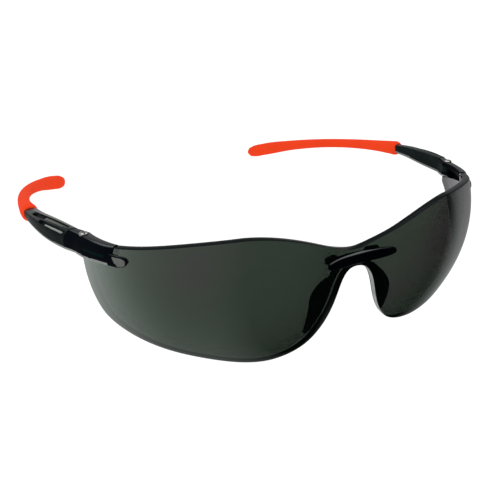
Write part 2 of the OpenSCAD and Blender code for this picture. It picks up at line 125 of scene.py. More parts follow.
# ------------------------------------------------------------------ lens surface
# "along" is the distance from the middle of the lens, measured round its front face.
# "out" is the distance in front of that face, square to it in plan.
LENS_THICK = 2.4
BULGE_RADIUS, BULGE_Z = 47.0, -5.15              # upright curvature and its foremost height
BROW_ALONG, BROW_Z = 37.0, 9.7                   # highest point of the top edge
DIP_Z, DIP_ROUND = 0.3, 4.0                      # dip of the top edge over the nose
BROW_FALL, BROW_FALL_RUN = 3.2, 43               # drop of the top edge behind the brow
CHIN_ALONG, CHIN_Z = 28.3, -30.2                 # lowest point of the lens
ARCH_Z, ARCH_WIDTH, ARCH_PULL = -5.2, 11.7, 1.2  # nose arch: crown and two control widths
REAR_ALONG, REAR_Z, REAR_SLOPE = 78.4, -14.4, 1.62
BELLY_Z = -13.7                                  # lower edge at REAR_ALONG, before blending
REAR_BLEND = 7                                   # softness of the lower rear corner
CUT_ALONG, END_ALONG = 73.4, 87.2                # notch for the end piece; rear end
# distance along the lens; how far its face has turned back, in degrees
TURNS = ([0, 8.2, 16.5, 29, 43, 58, 72, 86.5, 103],
         [0, -16, -4.7, 9, 25.3, 34, 58.2, 87, 115])


def turn(along):
    return curve(TURNS, along)


PLAN_STEPS = 94
PLAN = [(0.0, 0.0)]                              # x, y at each millimetre along the lens
for i in range(PLAN_STEPS):
    angle = turn(i + 0.5)
    PLAN.append((PLAN[-1][0] + cos_deg(angle), PLAN[-1][1] + sin_deg(angle)))


def plan(along):
    """x, y of the front face; cubic between the steps, so that it has no facets."""
    i = min(int(math.floor(along)), PLAN_STEPS - 2)
    t = along - i
    start, end = turn(i), turn(i + 1)
    (x0, y0), (x1, y1) = PLAN[i], PLAN[i + 1]
    return (cubic(x0, cos_deg(start), x1, cos_deg(end), t),
            cubic(y0, sin_deg(start), y1, sin_deg(end), t))


def on_lens(along, z, out):
    """Point at a height and a distance in front of the lens; along < 0 is the right side."""
    x, y = plan(abs(along))
    angle = turn(abs(along))
    shift = -(z - BULGE_Z) ** 2 / (2 * BULGE_RADIUS) + out
    x, y = x + sin_deg(angle) * shift, y - cos_deg(angle) * shift
    return Vector((-x if along < 0 else x, y, z))


def upright(along, points):
    """Section of the lens frame at one place along it, from (z, out) points."""
    return [on_lens(along, z, out) for z, out in points]


def level(z, points):
    """Section of the lens frame at one height, from (along, out) points."""
    return [on_lens(along, z, out) for along, out in points]


def top_z(along):
    """Height of the upper edge."""
    along = abs(along)
    if along < BROW_ALONG:
        run = math.sqrt(along * along + DIP_ROUND ** 2) - DIP_ROUND
        whole = math.sqrt(BROW_ALONG ** 2 + DIP_ROUND ** 2) - DIP_ROUND
        return DIP_Z + (BROW_Z - DIP_Z) * sin_deg(90 * run / whole)
    return BROW_Z - BROW_FALL * ((along - BROW_ALONG) / BROW_FALL_RUN) ** 1.2


def cut_z(along):
    """Height of the notched edge under the end piece."""
    return 3.9 - 1.6 * (along - CUT_ALONG) / (END_ALONG - CUT_ALONG)


def arch(t):
    """Along and z of the nose arch, from its crown (t = 0) to the chin (t = 1)."""
    u = 1 - t
    return (3 * ARCH_WIDTH * t * u * u + ARCH_PULL * t * t * u + CHIN_ALONG * t ** 3,
            ARCH_Z + (CHIN_Z - ARCH_Z) * (3 * t * t - 2 * t ** 3))


def nasal(z):
    """Distance along the lens to the nose arch at a height."""
    drop = (ARCH_Z - z) / (ARCH_Z - CHIN_Z)
    if drop <= 0:
        return arch(0.0)[0]
    return arch(0.5 - math.sin(math.asin(max(-1.0, min(1.0, 1 - 2 * drop))) / 3))[0]


def low_z(along):
    """Height of the lower edge beyond the nose arch."""
    belly = CHIN_Z
    if along > CHIN_ALONG:
        run = (along - CHIN_ALONG) / (REAR_ALONG - CHIN_ALONG)
        belly = CHIN_Z + (BELLY_Z - CHIN_Z) * run ** 1.55
    rear = REAR_Z + (along - REAR_ALONG) * REAR_SLOPE
    return (belly + rear + math.sqrt((belly - rear) ** 2 + REAR_BLEND)) / 2


# along, x, y and turn of the front face at every 0.1 mm
FACE_TABLE = [(i / 10, *plan(i / 10), turn(i / 10)) for i in range(885)]


def locate(point):
    """Distance along the lens, and depth behind its front face, of a point."""
    x, y = abs(point.x), point.y
    low, high = 0, len(FACE_TABLE) - 1
    while high - low > 2:
        middle = (low + high) // 2
        _, face_x, face_y, angle = FACE_TABLE[middle]
        if (x - face_x) * cos_deg(angle) + (y - face_y) * sin_deg(angle) > 0:
            low = middle
        else:
            high = middle
    along, face_x, face_y, angle = FACE_TABLE[low]
    return along, -((x - face_x) * sin_deg(angle) - (y - face_y) * cos_deg(angle))


# ------------------------------------------------------------------ mesh helpers
# shares taken off each side of a corner, one entry per pass
ROUND = (0.2, 0.25, 0.25)
SOFT = (0.22, 0.25, 0.25)
CRISP = (0.12, 0.25)


def cut_corners(ring, cuts):
    """Rounds a closed ring by repeated corner cutting."""
    for share in cuts:
        rounded = []
        for i, here in enumerate(ring):
            there = ring[(i + 1) % len(ring)]
            rounded.append(here + (there - here) * share)
            rounded.append(there + (here - there) * share)
        ring = rounded
    return ring


def centre(points):
    return sum(points, Vector((0, 0, 0))) / len(points)


def skin(solid, rows, push=Vector((0, 0, 0))):
    """Joins rows of vertices and closes both ends with fans; push moves the first fan's hub."""
    count = len(rows[0])
    for row, after in zip(rows, rows[1:]):
        for j in range(count):
            k = (j + 1) % count
            solid.faces.new((row[j], row[k], after[k], after[j]))
    for row in (rows[0], rows[-1]):
        middle = centre([vertex.co for vertex in row])
        if row is rows[0]:
            middle += push
        hub = solid.verts.new(middle)
        for j in range(count):
            solid.faces.new((row[j], row[(j + 1) % count], hub))
    bmesh.ops.recalc_face_normals(solid, faces=solid.faces)


def loft(rings):
    solid = bmesh.new()
    skin(solid, [[solid.verts.new(point) for point in ring] for ring in rings])
    return solid


def round_cap(ring, neighbour, grow, count):
    """Shrinking rings beyond a ring, on the side away from its neighbour."""
    middle = centre(ring)
    outward = (middle - centre(neighbour)).normalized()
    rings = []
    for i in range(1, count + 1):
        angle = 90.0 * i / (count + 0.35)
        rings.append([middle + (point - middle) * cos_deg(angle) + outward * grow * sin_deg(angle)
                      for point in ring])
    return rings


def rounded_ends(rings, grow, count, last=True):
    """Rings with soft round ends added; last=False leaves the far end flat."""
    rounded = list(reversed(round_cap(rings[0], rings[1], grow, count))) + rings
    if last:
        rounded += round_cap(rings[-1], rings[-2], grow, count)
    return rounded


def prism(outline, bottom, top):
    solid = bmesh.new()
    low = [solid.verts.new((x, y, bottom)) for x, y in outline]
    high = [solid.verts.new((x, y, top)) for x, y in outline]
    solid.faces.new(list(reversed(low)))
    solid.faces.new(high)
    for i in range(len(outline)):
        j = (i + 1) % len(outline)
        solid.faces.new((low[i], low[j], high[j], high[i]))
    bmesh.ops.recalc_face_normals(solid, faces=solid.faces)
    return solid


def hinge_rod(bottom, top, radius, sides=64):
    """Upright cylinder on the hinge axis."""
    angles = [360 * i / sides for i in range(sides)]
    return prism([(HINGE_X + radius * cos_deg(a), HINGE_Y + radius * sin_deg(a)) for a in angles],
                 bottom, top)


def temporary(solid):
    mesh = bpy.data.meshes.new("temporary")
    bmesh.ops.recalc_face_normals(solid, faces=solid.faces)
    solid.to_mesh(mesh)
    thing = bpy.data.objects.new("temporary", mesh)
    scene.collection.objects.link(thing)
    return thing


def boolean(solid, tools, operation="DIFFERENCE"):
    """The solid with each tool taken off (or added), one after another."""
    for tool in tools:
        body, other = temporary(solid), temporary(tool)
        modifier = body.modifiers.new("cut", "BOOLEAN")
        modifier.object = other
        modifier.operation = operation
        modifier.solver = "EXACT"
        bpy.context.view_layer.update()
        evaluated = body.evaluated_get(bpy.context.evaluated_depsgraph_get())
        result = bpy.data.meshes.new_from_object(evaluated)
        solid = bmesh.new()
        solid.from_mesh(result)
        for thing in (body, other):
            mesh = thing.data
            bpy.data.objects.remove(thing)
            bpy.data.meshes.remove(mesh)
        bpy.data.meshes.remove(result)
        bmesh.ops.dissolve_degenerate(solid, dist=1e-5, edges=solid.edges)
    return solid


def make(part, solid, body, materials, sharp, side=1):
    """Turns a worn-frame solid into the look of a CAD part. Edges steeper than `sharp` degrees
    stay crisp (None: none do); side -1 mirrors it to the right."""
    for vertex in solid.verts:
        x, y, z = vertex.co
        vertex.co = rest((side * x, y, z))
    if side < 0:
        bmesh.ops.reverse_faces(solid, faces=solid.faces)
    bmesh.ops.recalc_face_normals(solid, faces=solid.faces)
    mesh = bpy.data.meshes.new(part + "_look")
    solid.to_mesh(mesh)
    solid.free()
    mesh.polygons.foreach_set("use_smooth", [True] * len(mesh.polygons))
    if sharp:
        mesh.set_sharp_from_angle(angle=math.radians(sharp))
    look = bpy.data.objects.new(part + "_look", mesh)
    scene.collection.objects.link(look)
    for material in materials:
        mesh.materials.append(material)
    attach(look, body)
    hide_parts(part)


# ------------------------------------------------------------------ shader helper
def rgba(colour):
    """Opaque colour from an (r, g, b) or a single grey value."""
    if isinstance(colour, (int, float)):
        return (colour, colour, colour, 1)
    return (*colour, 1)


def scaled(colour, factor):
    return tuple(factor * channel for channel in colour)


class Shader:
    """Builds the node tree of a material or a world."""

    def __init__(self, owner, output="OutputMaterial"):
        owner.use_nodes = True
        self.owner = owner
        self.nodes, self.links = owner.node_tree.nodes, owner.node_tree.links
        self.nodes.clear()
        self.output = self.nodes.new("ShaderNode" + output)

    def finish(self, surface):
        self.links.new(surface, self.output.inputs["Surface"])
        return self.owner

    def put(self, socket, value):
        """Links a socket or sets a value; None leaves the default."""
        if isinstance(value, bpy.types.NodeSocket):
            self.links.new(value, socket)
        elif value is not None:
            socket.default_value = rgba(value) if socket.type == "RGBA" else value

    def node(self, kind, *numbered, **named):
        """New node: numbered fill inputs in order, named are inputs (_ for space) or settings."""
        node = self.nodes.new("ShaderNode" + kind)
        for key, value in named.items():
            socket_name = key.replace("_", " ")
            if socket_name in node.inputs:
                self.put(node.inputs[socket_name], value)
            else:
                setattr(node, key, value)
        for i, value in enumerate(numbered):
            self.put(node.inputs[i], value)
        return node

    def add(self, kind, output=0, **named):
        return self.node(kind, **named).outputs[output]

    @cached_property
    def coords(self):
        return self.add("TexCoord", "Object")

    def noise(self, scale, detail, roughness=0.5, stretch=None):
        coords = self.coords
        if stretch:
            coords = self.add("Mapping", Vector=coords, Scale=stretch)
        return self.add("TexNoise", "Fac", Vector=coords, Scale=scale, Detail=detail,
                        Roughness=roughness)

    def ramp(self, factor, *stops):
        """Colour ramp with (position, colour) stops."""
        node = self.node("ValToRGB", factor)
        elements = node.color_ramp.elements
        while len(elements) > 1:
            elements.remove(elements[-1])
        elements[0].position = stops[0][0]
        elements[0].color = rgba(stops[0][1])
        for position, colour in stops[1:]:
            elements.new(position).color = rgba(colour)
        return node.outputs[0]

    def math(self, operation, *values, clamp=False):
        return self.node("Math", *values, operation=operation, use_clamp=clamp).outputs[0]

    def map_range(self, value, source=(0.0, 1.0), target=(0.0, 1.0), kind="LINEAR"):
        return self.add("MapRange", interpolation_type=kind, Value=value,
                        From_Min=source[0], From_Max=source[1],
                        To_Min=target[0], To_Max=target[1])

    def by_upward(self, source, target):
        """Smooth step on how far the surface faces up (+1) or down (-1)."""
        normal = self.add("NewGeometry", "Normal")
        upward = self.add("SeparateXYZ", "Z", Vector=normal)
        return self.map_range(upward, source, target, "SMOOTHSTEP")

    def bump(self, height, strength, distance=0.0001):
        return self.add("Bump", Height=height, Strength=strength, Distance=distance)

    def mix_colour(self, factor, first, second, blend="MIX"):
        node = self.node("Mix", data_type="RGBA", blend_type=blend)
        # sockets 0, 6 and 7 are the factor and the two colours
        for i, value in ((0, factor), (6, first), (7, second)):
            self.put(node.inputs[i], value)
        return node.outputs[2]

    def mix_shader(self, factor, first, second):
        return self.node("MixShader", factor, first, second).outputs[0]

    def see_through(self, surface, factor, tint):
        """Surface that lets tinted light through by the factor."""
        return self.mix_shader(factor, surface, self.add("BsdfTransparent", Color=tint))


def new_material(name):
    return Shader(bpy.data.materials.new(name))


# ------------------------------------------------------------------ materials
LENS_CLEAR = 0.207                               # light let through per surface


def lens_material(name):
    """Smoke-tinted plastic with a faint coating, green to purple in broad patches."""
    shader = new_material(name)
    patches = shader.noise(scale=26.0, detail=1.0, roughness=0.4)
    # the patches drift from green to purple across the width
    across = shader.add("SeparateXYZ", "X", Vector=shader.coords)
    drift = shader.math("MULTIPLY_ADD", across, 2.6, -0.08)
    coat = shader.ramp(shader.math("ADD", patches, drift),
                       (0.4, (0.84, 1.0, 0.88)), (0.56, (0.94, 1.0, 0.93)), (0.68, (1.0, 0.84, 1.0)))
    tint = (LENS_CLEAR * 0.97, LENS_CLEAR, LENS_CLEAR * 0.96)
    through = shader.mix_colour(0.8, tint, coat, blend="MULTIPLY")
    # scattered light inside the wrap keeps the far layers from going black
    depth = shader.add("LightPath", "Transparent Depth")
    deep = shader.math("GREATER_THAN", depth, 1.5)
    layer = shader.mix_colour(deep, through, (0.8, 0.74, 0.79))
    clear = shader.add("BsdfTransparent", Color=layer)
    fine = shader.noise(scale=900.0, detail=2.0)
    sheen = shader.mix_colour(0.35, (0.93, 0.97, 0.95), coat, blend="MULTIPLY")
    gloss = shader.add("BsdfGlossy", Color=sheen, Roughness=0.05,
                       Normal=shader.bump(fine, strength=0.02))
    # reflection grows towards grazing angles, and is weak on the far layers
    facing = shader.add("LayerWeight", "Facing", Blend=0.5)
    grazing = shader.math("POWER", facing, 1.8)
    near = shader.math("MULTIPLY_ADD", deep, -0.85, 1.0)
    mirror = shader.math("MULTIPLY_ADD", grazing, 0.72, 0.045, clamp=True)
    return shader.finish(shader.mix_shader(shader.math("MULTIPLY", mirror, near), clear, gloss))


def black_material(name, base, start, end, edge, rough=0.1, spec=0.006, through=0.0):
    """Black plastic. Specular rises from spec to edge where the surface turns upwards from
    start to end; through is the light let through the rounded lower edges."""
    shader = new_material(name)
    grain = shader.noise(scale=420.0, detail=3.0)
    slow = shader.noise(scale=60.0, detail=2.0)
    lighter = (base[0] * 1.7, base[1] * 1.8, base[2] * 1.9)
    surface = shader.add(
        "BsdfPrincipled",
        Base_Color=shader.ramp(slow, (0.35, base), (0.7, lighter)),
        Roughness=shader.map_range(grain, target=(rough * 0.75, rough * 1.35)),
        Normal=shader.bump(grain, strength=0.05),
        Specular_IOR_Level=shader.by_upward((start, end), (spec, edge)),
        Specular_Tint=(0.85, 1, 0.98))
    if through:
        lower = shader.by_upward((-0.3, -0.85), (0.0, through))
        surface = shader.see_through(surface, lower, tint=(0.6, 0.64, 0.62))
    return shader.finish(surface)


def edge_material(name, outside, inside, rough=0.25):
    """Cut edge of the lens: one colour from outside, another where seen through the lens."""
    shader = new_material(name)
    grain = shader.noise(scale=220.0, detail=3.0, stretch=(1, 1, 3))
    colour = shader.ramp(grain, (0.35, scaled(outside, 0.75)), (0.65, outside))
    behind = shader.add("NewGeometry", "Backfacing")
    return shader.finish(shader.add(
        "BsdfPrincipled",
        Base_Color=shader.mix_colour(behind, colour, inside),
        Roughness=rough,
        Specular_IOR_Level=0.02,
        Normal=shader.bump(grain, strength=0.08)))


def tip_material(name):
    """Thin clear end of the lobe: a quarter see-through, the rest a light grey of painted light
    coming through the thin tip, with a dark outline at grazing angles.
    """
    shader = new_material(name)
    cloud = shader.noise(scale=300.0, detail=2.0)
    colour = shader.ramp(cloud, (0.3, (0.12, 0.13, 0.12)), (0.7, (0.19, 0.2, 0.19)))
    facing = shader.add("LayerWeight", "Facing", Blend=0.5)
    outline = shader.math("POWER", facing, 6.0, clamp=True)
    surface = shader.add("BsdfPrincipled", Roughness=0.1, Specular_IOR_Level=0.1,
                         Base_Color=shader.mix_colour(outline, colour, (0.002, 0.003, 0.003)))
    return shader.finish(shader.see_through(surface, 0.25, tint=(0.7, 0.74, 0.7)))


def painted_light_material(name, light, dark):
    """Painted light on a thin part of a moulding: a grey, clouded between two greys, standing for
    light coming through or off it.
    """
    shader = new_material(name)
    cloud = shader.noise(scale=160.0, detail=3.0)
    return shader.finish(shader.add(
        "BsdfPrincipled",
        Base_Color=shader.ramp(cloud, (0.3, dark), (0.65, light)),
        Roughness=0.3,
        Normal=shader.bump(cloud, strength=0.1)))


def smoke_material(name):
    """Smoke-grey moulding; light comes through its rounded lower edges."""
    shader = new_material(name)
    cloud = shader.noise(scale=120.0, detail=3.0, roughness=0.55)
    fine = shader.noise(scale=700.0, detail=2.0)
    surface = shader.add(
        "BsdfPrincipled",
        Base_Color=shader.ramp(cloud, (0.3, (0.004, 0.007, 0.007)), (0.55, (0.008, 0.012, 0.012)),
                               (0.75, (0.014, 0.019, 0.018))),
        Roughness=0.16,
        Specular_IOR_Level=shader.by_upward((0.7, 0.86), (0.008, 0.13)),
        Normal=shader.bump(fine, strength=0.05))
    lower = shader.by_upward((-0.15, -0.75), (0.06, 0.75))
    return shader.finish(shader.see_through(surface, lower, tint=(0.5, 0.54, 0.52)))


def rubber_material(name, base, rough, grain=0.12, spread=0.12):
    """Matt rubber. grain is the strength of the bumps, spread the variation in colour."""
    shader = new_material(name)
    bumps = shader.noise(scale=1500.0, detail=3.0, roughness=0.6)
    slow = shader.noise(scale=90.0, detail=2.0)
    darker = scaled(base, 1 - spread)
    lighter = scaled(base, 1 + spread * 0.5)
    return shader.finish(shader.add(
        "BsdfPrincipled",
        Base_Color=shader.ramp(slow, (0.3, darker), (0.7, lighter)),
        Roughness=shader.map_range(bumps, target=(rough * 0.85, rough * 1.2)),
        Normal=shader.bump(bumps, strength=grain),
        Specular_IOR_Level=0.03))


def metal_material(name, base, rough):
    """Bare metal with fine streaks across the z axis."""
    shader = new_material(name)
    streaks = shader.noise(scale=700.0, detail=4.0, stretch=(1, 1, 14))
    return shader.finish(shader.add(
        "BsdfPrincipled",
        Metallic=1.0,
        Base_Color=shader.ramp(streaks, (0.3, scaled(base, 0.7)), (0.7, base)),
        Roughness=shader.map_range(streaks, target=(rough * 0.7, rough * 1.5)),
        Normal=shader.bump(streaks, strength=0.08, distance=0.00005)))


LENS_SMOKE = lens_material("lens_smoke")
EDGE_TOP = edge_material("lens_edge_top", outside=(0.004, 0.006, 0.007),
                         inside=(0.003, 0.004, 0.004), rough=0.12)
# painted light: the edges round the nose are light grey, standing for light glowing in the polished
# edge
EDGE_NOSE_PAINTED_GLOW = edge_material("lens_edge_nose_painted_glow", outside=(0.34, 0.36, 0.345),
                          inside=(0.012, 0.03, 0.03))
# painted light: the lower edges beyond the nose and the notch edge are light grey, standing for
# light in the edge
EDGE_PAINTED_LIGHT = edge_material("lens_edge_painted_light", outside=(0.11, 0.12, 0.12),
                           inside=(0.12, 0.13, 0.125))
BLACK = black_material("black_gloss", base=(0.0015, 0.002, 0.003), start=0.9, end=0.97,
                       edge=0.25, through=0.45)
BAR_BLACK = black_material("black_bar", base=(0.0006, 0.0007, 0.0012), start=0.94, end=1.0,
                           edge=0.4, rough=0.09)
ARM_SMOKE = smoke_material("arm_smoke")
# painted light: the arm's lower edge is light grey, standing for light coming through the smoke
# moulding
ARM_LOWER_EDGE_PAINTED_LIGHT = painted_light_material("arm_lower_edge_painted_light", light=(0.13, 0.145, 0.135), dark=(0.08, 0.09, 0.085))
# painted light: the end piece's lower edge is light grey, standing for a highlight and light coming
# through it
PIECE_LOWER_EDGE_PAINTED_LIGHT = painted_light_material("endpiece_lower_edge_painted_light", light=(0.24, 0.26, 0.245), dark=(0.12, 0.13, 0.125))
# painted light: the lobe's thin tip is light grey, standing for light coming through it
TIP_PAINTED_LIGHT = tip_material("endpiece_tip_painted_light")
# painted reflection: a teal streak along the end piece's outer face
TEAL_PAINTED_REFLECTION = black_material("black_teal_painted_reflection", base=(0.0012, 0.0065, 0.0055), start=0.9,
                            end=0.97, edge=0.4)
# painted shade for the rear of the groove floors
ARM_SHADE = black_material("arm_shade", base=(0.001, 0.0015, 0.002), start=0.7, end=0.86,
                           edge=0.02, rough=0.3, spec=0.02)
# painted light on the groove floors, dimmer in the inner groove
GROOVE_OUTER_PAINTED_LIGHT = painted_light_material("arm_groove_outer_painted_light", light=(0.40, 0.42, 0.38), dark=(0.22, 0.24, 0.22))
GROOVE_INNER_PAINTED_DIM_LIGHT = painted_light_material("arm_groove_inner_painted_dim_light", light=(0.10, 0.10, 0.085),
                             dark=(0.05, 0.055, 0.048))
ORANGE = rubber_material("orange_rubber", base=(0.86, 0.056, 0.014), rough=0.8, grain=0.06,
                         spread=0.04)
PAD_RUBBER = rubber_material("pad_rubber", base=(0.004, 0.035, 0.04), rough=0.5)
CARRIER_DARK = rubber_material("carrier_dark", base=(0.003, 0.04, 0.045), rough=0.4)
STEEL = metal_material("screw_steel", base=(0.3, 0.3, 0.29), rough=0.16)
BRASS = metal_material("insert_brass", base=(0.78, 0.58, 0.28), rough=0.3)

# ------------------------------------------------------------------ tabs through the lens
# the bridge bar has two tabs that reach back through slots in the lens and the nose carrier
TAB_ALONG, TAB_Z, TAB_WIDTH, TAB_HEIGHT, TAB_CORNER = 6.6, -2.35, 2.2, 1.2, 0.25
LENS_SLOT_GAP, CARRIER_SLOT_GAP = 0.4, 0.1       # slot size less tab size


def tab_blocks(gap, front, back):
    """Rounded blocks square to the lens at both tabs; front and back are depths behind it."""
    x0, y0 = plan(TAB_ALONG)
    angle = turn(TAB_ALONG)
    half_width = (TAB_WIDTH + gap) / 2 - TAB_CORNER
    half_height = (TAB_HEIGHT + gap) / 2 - TAB_CORNER
    section = []
    for sign_u, sign_v, start in ((1, 1, 0), (-1, 1, 90), (-1, -1, 180), (1, -1, 270)):
        for corner in steps(start, start + 90, 4):
            section.append((sign_u * half_width + TAB_CORNER * cos_deg(corner),
                            sign_v * half_height + TAB_CORNER * sin_deg(corner)))
    blocks = []
    for side, _ in SIDES:
        blocks.append(loft([
            [Vector((side * (x0 + cos_deg(angle) * u - sin_deg(angle) * depth),
                     y0 + sin_deg(angle) * u + cos_deg(angle) * depth, TAB_Z + v))
             for u, v in section]
            for depth in (front, back)]))
    return blocks


# ------------------------------------------------------------------ lens
EDGE_RADIUS = 0.34
LENS_MATERIALS = [LENS_SMOKE, EDGE_TOP, EDGE_NOSE_PAINTED_GLOW, EDGE_PAINTED_LIGHT]


def lens_columns():
    """(along, low, high, steepness of the lower edge) from the middle to the left end."""
    columns = []
    for i, t in enumerate(steps(0, 1, 66)):
        along, low = arch(t)
        (along0, z0), (along1, z1) = arch(max(0, t - 0.004)), arch(min(1, t + 0.004))
        steep = abs((z1 - z0) / max(1e-6, along1 - along0)) if i else 0.0
        columns.append((along, low, top_z(along), steep))
    belly = [(along, top_z(along)) for along in steps(CHIN_ALONG, CUT_ALONG - 0.2, 90)[1:]]
    notch = [(along, cut_z(along)) for along in (CUT_ALONG, 74.2, *range(75, 87), 86.7, END_ALONG)]
    for along, high in belly + notch:
        steep = abs(low_z(along + 0.05) - low_z(along - 0.05)) / 0.1
        columns.append((along, low_z(along), high, steep))
    return columns


def lens_ring(along, low, high, steep):
    """Upright section with rounded edges; a steep lower edge gets a taller rounding."""
    radius, back, middle = EDGE_RADIUS, -LENS_THICK, -LENS_THICK / 2
    tall = min(radius * math.sqrt(1 + steep * steep), 0.3 * (high - low))
    leaving, arriving = (30, 60, 90), (0, 30, 60)          # degrees round a quarter circle
    points = [(z, 0.0) for z in steps(low + tall, high - radius, 30)]
    points += [(high - radius + radius * sin_deg(a), -radius + radius * cos_deg(a))
               for a in leaving]
    points.append((high, middle))
    points += [(high - radius + radius * cos_deg(a), back + radius - radius * sin_deg(a))
               for a in arriving]
    points += [(z, back) for z in steps(high - radius, low + tall, 30)]
    points += [(low + tall - tall * sin_deg(a), back + radius - radius * cos_deg(a))
               for a in leaving]
    points.append((low, middle))
    points += [(low + tall - tall * cos_deg(a), -radius + radius * sin_deg(a)) for a in arriving]
    return upright(along, points)


def lens_face_material(face):
    """Index in LENS_MATERIALS: the cut edges get their own materials, with painted light on the
    nasal edges, on the lower edges beyond them and on the notch edge.
    """
    middle, normal = face.calc_center_median(), face.normal
    along, _ = locate(middle)
    angle = turn(along)
    high = top_z(along) if along < CUT_ALONG else cut_z(along)
    outward = normal.x * math.copysign(1, middle.x) * sin_deg(angle) - normal.y * cos_deg(angle)
    if abs(outward) > 0.72:
        return 0
    # painted light on the notch edge
    if along > CUT_ALONG - 0.6 and middle.z > cut_z(along) + 0.05 and abs(normal.z) < 0.6:
        return 3
    if middle.z > high - 0.6:
        return 1
    # painted light on the lower edges: brighter round the nose, dimmer beyond it
    return 2 if along < 27 and normal.z < 0.8 else 3


def lens_solid():
    left = lens_columns()
    right = [(-along, *sizes) for along, *sizes in reversed(left[1:])]
    solid = loft([lens_ring(*column) for column in right + left])
    solid = boolean(solid, tab_blocks(LENS_SLOT_GAP, front=-3, back=5))
    solid.normal_update()
    for face in solid.faces:
        face.material_index = lens_face_material(face)
    return solid


make("lens_shield", lens_solid(), "front", LENS_MATERIALS, sharp=None)

# ------------------------------------------------------------------ end pieces
SEAM = 37.5                                      # y where the end piece meets the arm
HUB_RADIUS, HUB_BOTTOM, HUB_TOP = 1.9, 3.9, 6.25  # arm knuckle round the hinge axis
HUB_GAP = 0.05                                   # play above and below the knuckle
BORE_RADIUS = 0.8                                # hole for the screw
PIECE_MATERIALS = [BLACK, TIP_PAINTED_LIGHT, PIECE_LOWER_EDGE_PAINTED_LIGHT, TEAL_PAINTED_REFLECTION]

# lobe lying on the lens: along; height of lower and upper edge; thickness
LOBE_START = 68.1
LOBE_LOW = ([68.1, 68.5, 69.2, 70.5, 74, 78, 84, 88], [4.3, 3.6, 2.95, 2.6, 2.5, 2.3, 1.8, 1.7])
LOBE_HIGH = ([68.1, 68.5, 69.2, 71, 74, 78, 88], [4.5, 5.0, 5.35, 5.4, 5.6, 6.1, 6.2])
LOBE_THICK = ([68.1, 69.2, 72, 78, 84, 88], [0.35, 0.65, 1.0, 1.3, 1.9, 2.5])

# core over the lens notch: along; distance in front of the lens, or height
CORE_INNER = ([73, 79, 88], [-4.0, -3.7, -3.2])
CORE_OUTER = ([73, 75, 79, 83, 88], [-0.85, -0.2, 0.35, 0.85, 1.9])
CORE_TOP = ([73, 80, 88], [7.35, 7.6, 7.8])
CORE_LIFT = 0.12                                 # height above the notched edge

# outlines in plan (x, y) of the space for the arm knuckle, and of the hollow ahead of it,
# open on the inner side down to the notched edge of the lens
POCKET = [(60, 29.5), (60, 45), (71.0, 45), (71.0, SEAM), (70.05, HINGE_Y),
          (69.65, HINGE_Y - 1.2), (68.9, HINGE_Y - 2.4), (68.3, 29.5)]
HOLLOW_DEPTH = 1.7                               # outer wall of the hollow behind the lens face


def hollow_outline():
    outline = [(60, 29.6)]
    for along in (83, 80, 77, 74, 71.5):
        (x, y), angle = plan(along), turn(along)
        outline.append((x - HOLLOW_DEPTH * sin_deg(angle), y + HOLLOW_DEPTH * cos_deg(angle)))
    return outline + [(57, 17)]


def lobe_ring(along):
    low, high, thick = (curve(table, along) for table in (LOBE_LOW, LOBE_HIGH, LOBE_THICK))
    middle, height = (low + high) / 2, high - low
    return cut_corners(upright(along, [
        (low, 0.02), (middle, 0.02), (high, 0.02), (high, 0.1 + 0.5 * thick),
        (middle + 0.3 * height, 0.95 * thick), (middle, 1.06 * thick),
        (middle - 0.32 * height, 0.98 * thick), (low, 0.1 + 0.5 * thick)]), ROUND)


def core_ring(origin, outward, inner, outer, bottom, top):
    """Upright section from inner to outer, measured from origin along outward."""
    points = [(outer - 0.5, bottom), (outer, bottom + 0.7), (outer, 4.8), (outer - 0.3, 6.2),
              (outer - 0.9, 7.1), (outer - 2.0, top - 0.05), (inner + 0.4, top - 0.1),
              (inner, top - 0.5), (inner, 4.6), (inner, bottom + 0.3), (inner + 0.3, bottom)]
    return cut_corners([Vector((origin[0] + outward[0] * out, origin[1] + outward[1] * out, z))
                        for out, z in points], ROUND)


def core_rings():
    rings = []
    end = END_ALONG + 0.2
    for along in steps(CUT_ALONG + 0.15, end, 34):
        angle = turn(along)
        rings.append(core_ring(plan(along), (sin_deg(angle), -cos_deg(angle)),
                               curve(CORE_INNER, along), curve(CORE_OUTER, along),
                               cut_z(along) + CORE_LIFT, curve(CORE_TOP, along)))
    # beyond the lens the piece runs straight back to the seam
    (end_x, end_y), end_sin = plan(end), sin_deg(turn(end))
    # y, inner x, outer x, bottom, top
    stations = (
        (end_y, end_x - 3.21 * end_sin, end_x + 1.84 * end_sin, cut_z(end) + CORE_LIFT, 7.79),
        (HINGE_Y + 1.3, 66.4, 71.2, 2.1, 7.85),
        (SEAM, 68.0, 72.5, 2.1, 8.0))
    for y in steps(end_y, SEAM, 14)[1:]:
        near, far = stations[:2] if y <= stations[1][0] else stations[1:]
        share = (y - near[0]) / (far[0] - near[0])
        sizes = [mix(a, b, share) for a, b in zip(near[1:], far[1:])]
        rings.append(core_ring((0, y), (1, 0), *sizes))
    return rings


def piece_face_material(face):
    """Index in PIECE_MATERIALS: painted light on the lobe's thin tip and on the lower edge, and a
    painted teal reflection along the outer face.
    """
    z = face.calc_center_median().z
    along, depth = locate(face.calc_center_median())
    on_lobe = curve(LOBE_LOW, along) + 0.2 < z < curve(LOBE_HIGH, along) - 0.32
    # painted light on the lobe's thin tip
    if 68.6 < along < 70.8 + (z - 2.8) * 0.85 and depth < 0.4 and on_lobe:
        return 1
    # painted teal reflection band on the outer face
    if 75.2 < along < 83.5 and depth < 0.05 and 4.5 < z < 5.1:
        return 3
    # painted light on the lower edge
    if z < (3.1 if along > 80 else 3.3) and face.normal.z < 0.2 and along > 74:
        return 2
    return 0


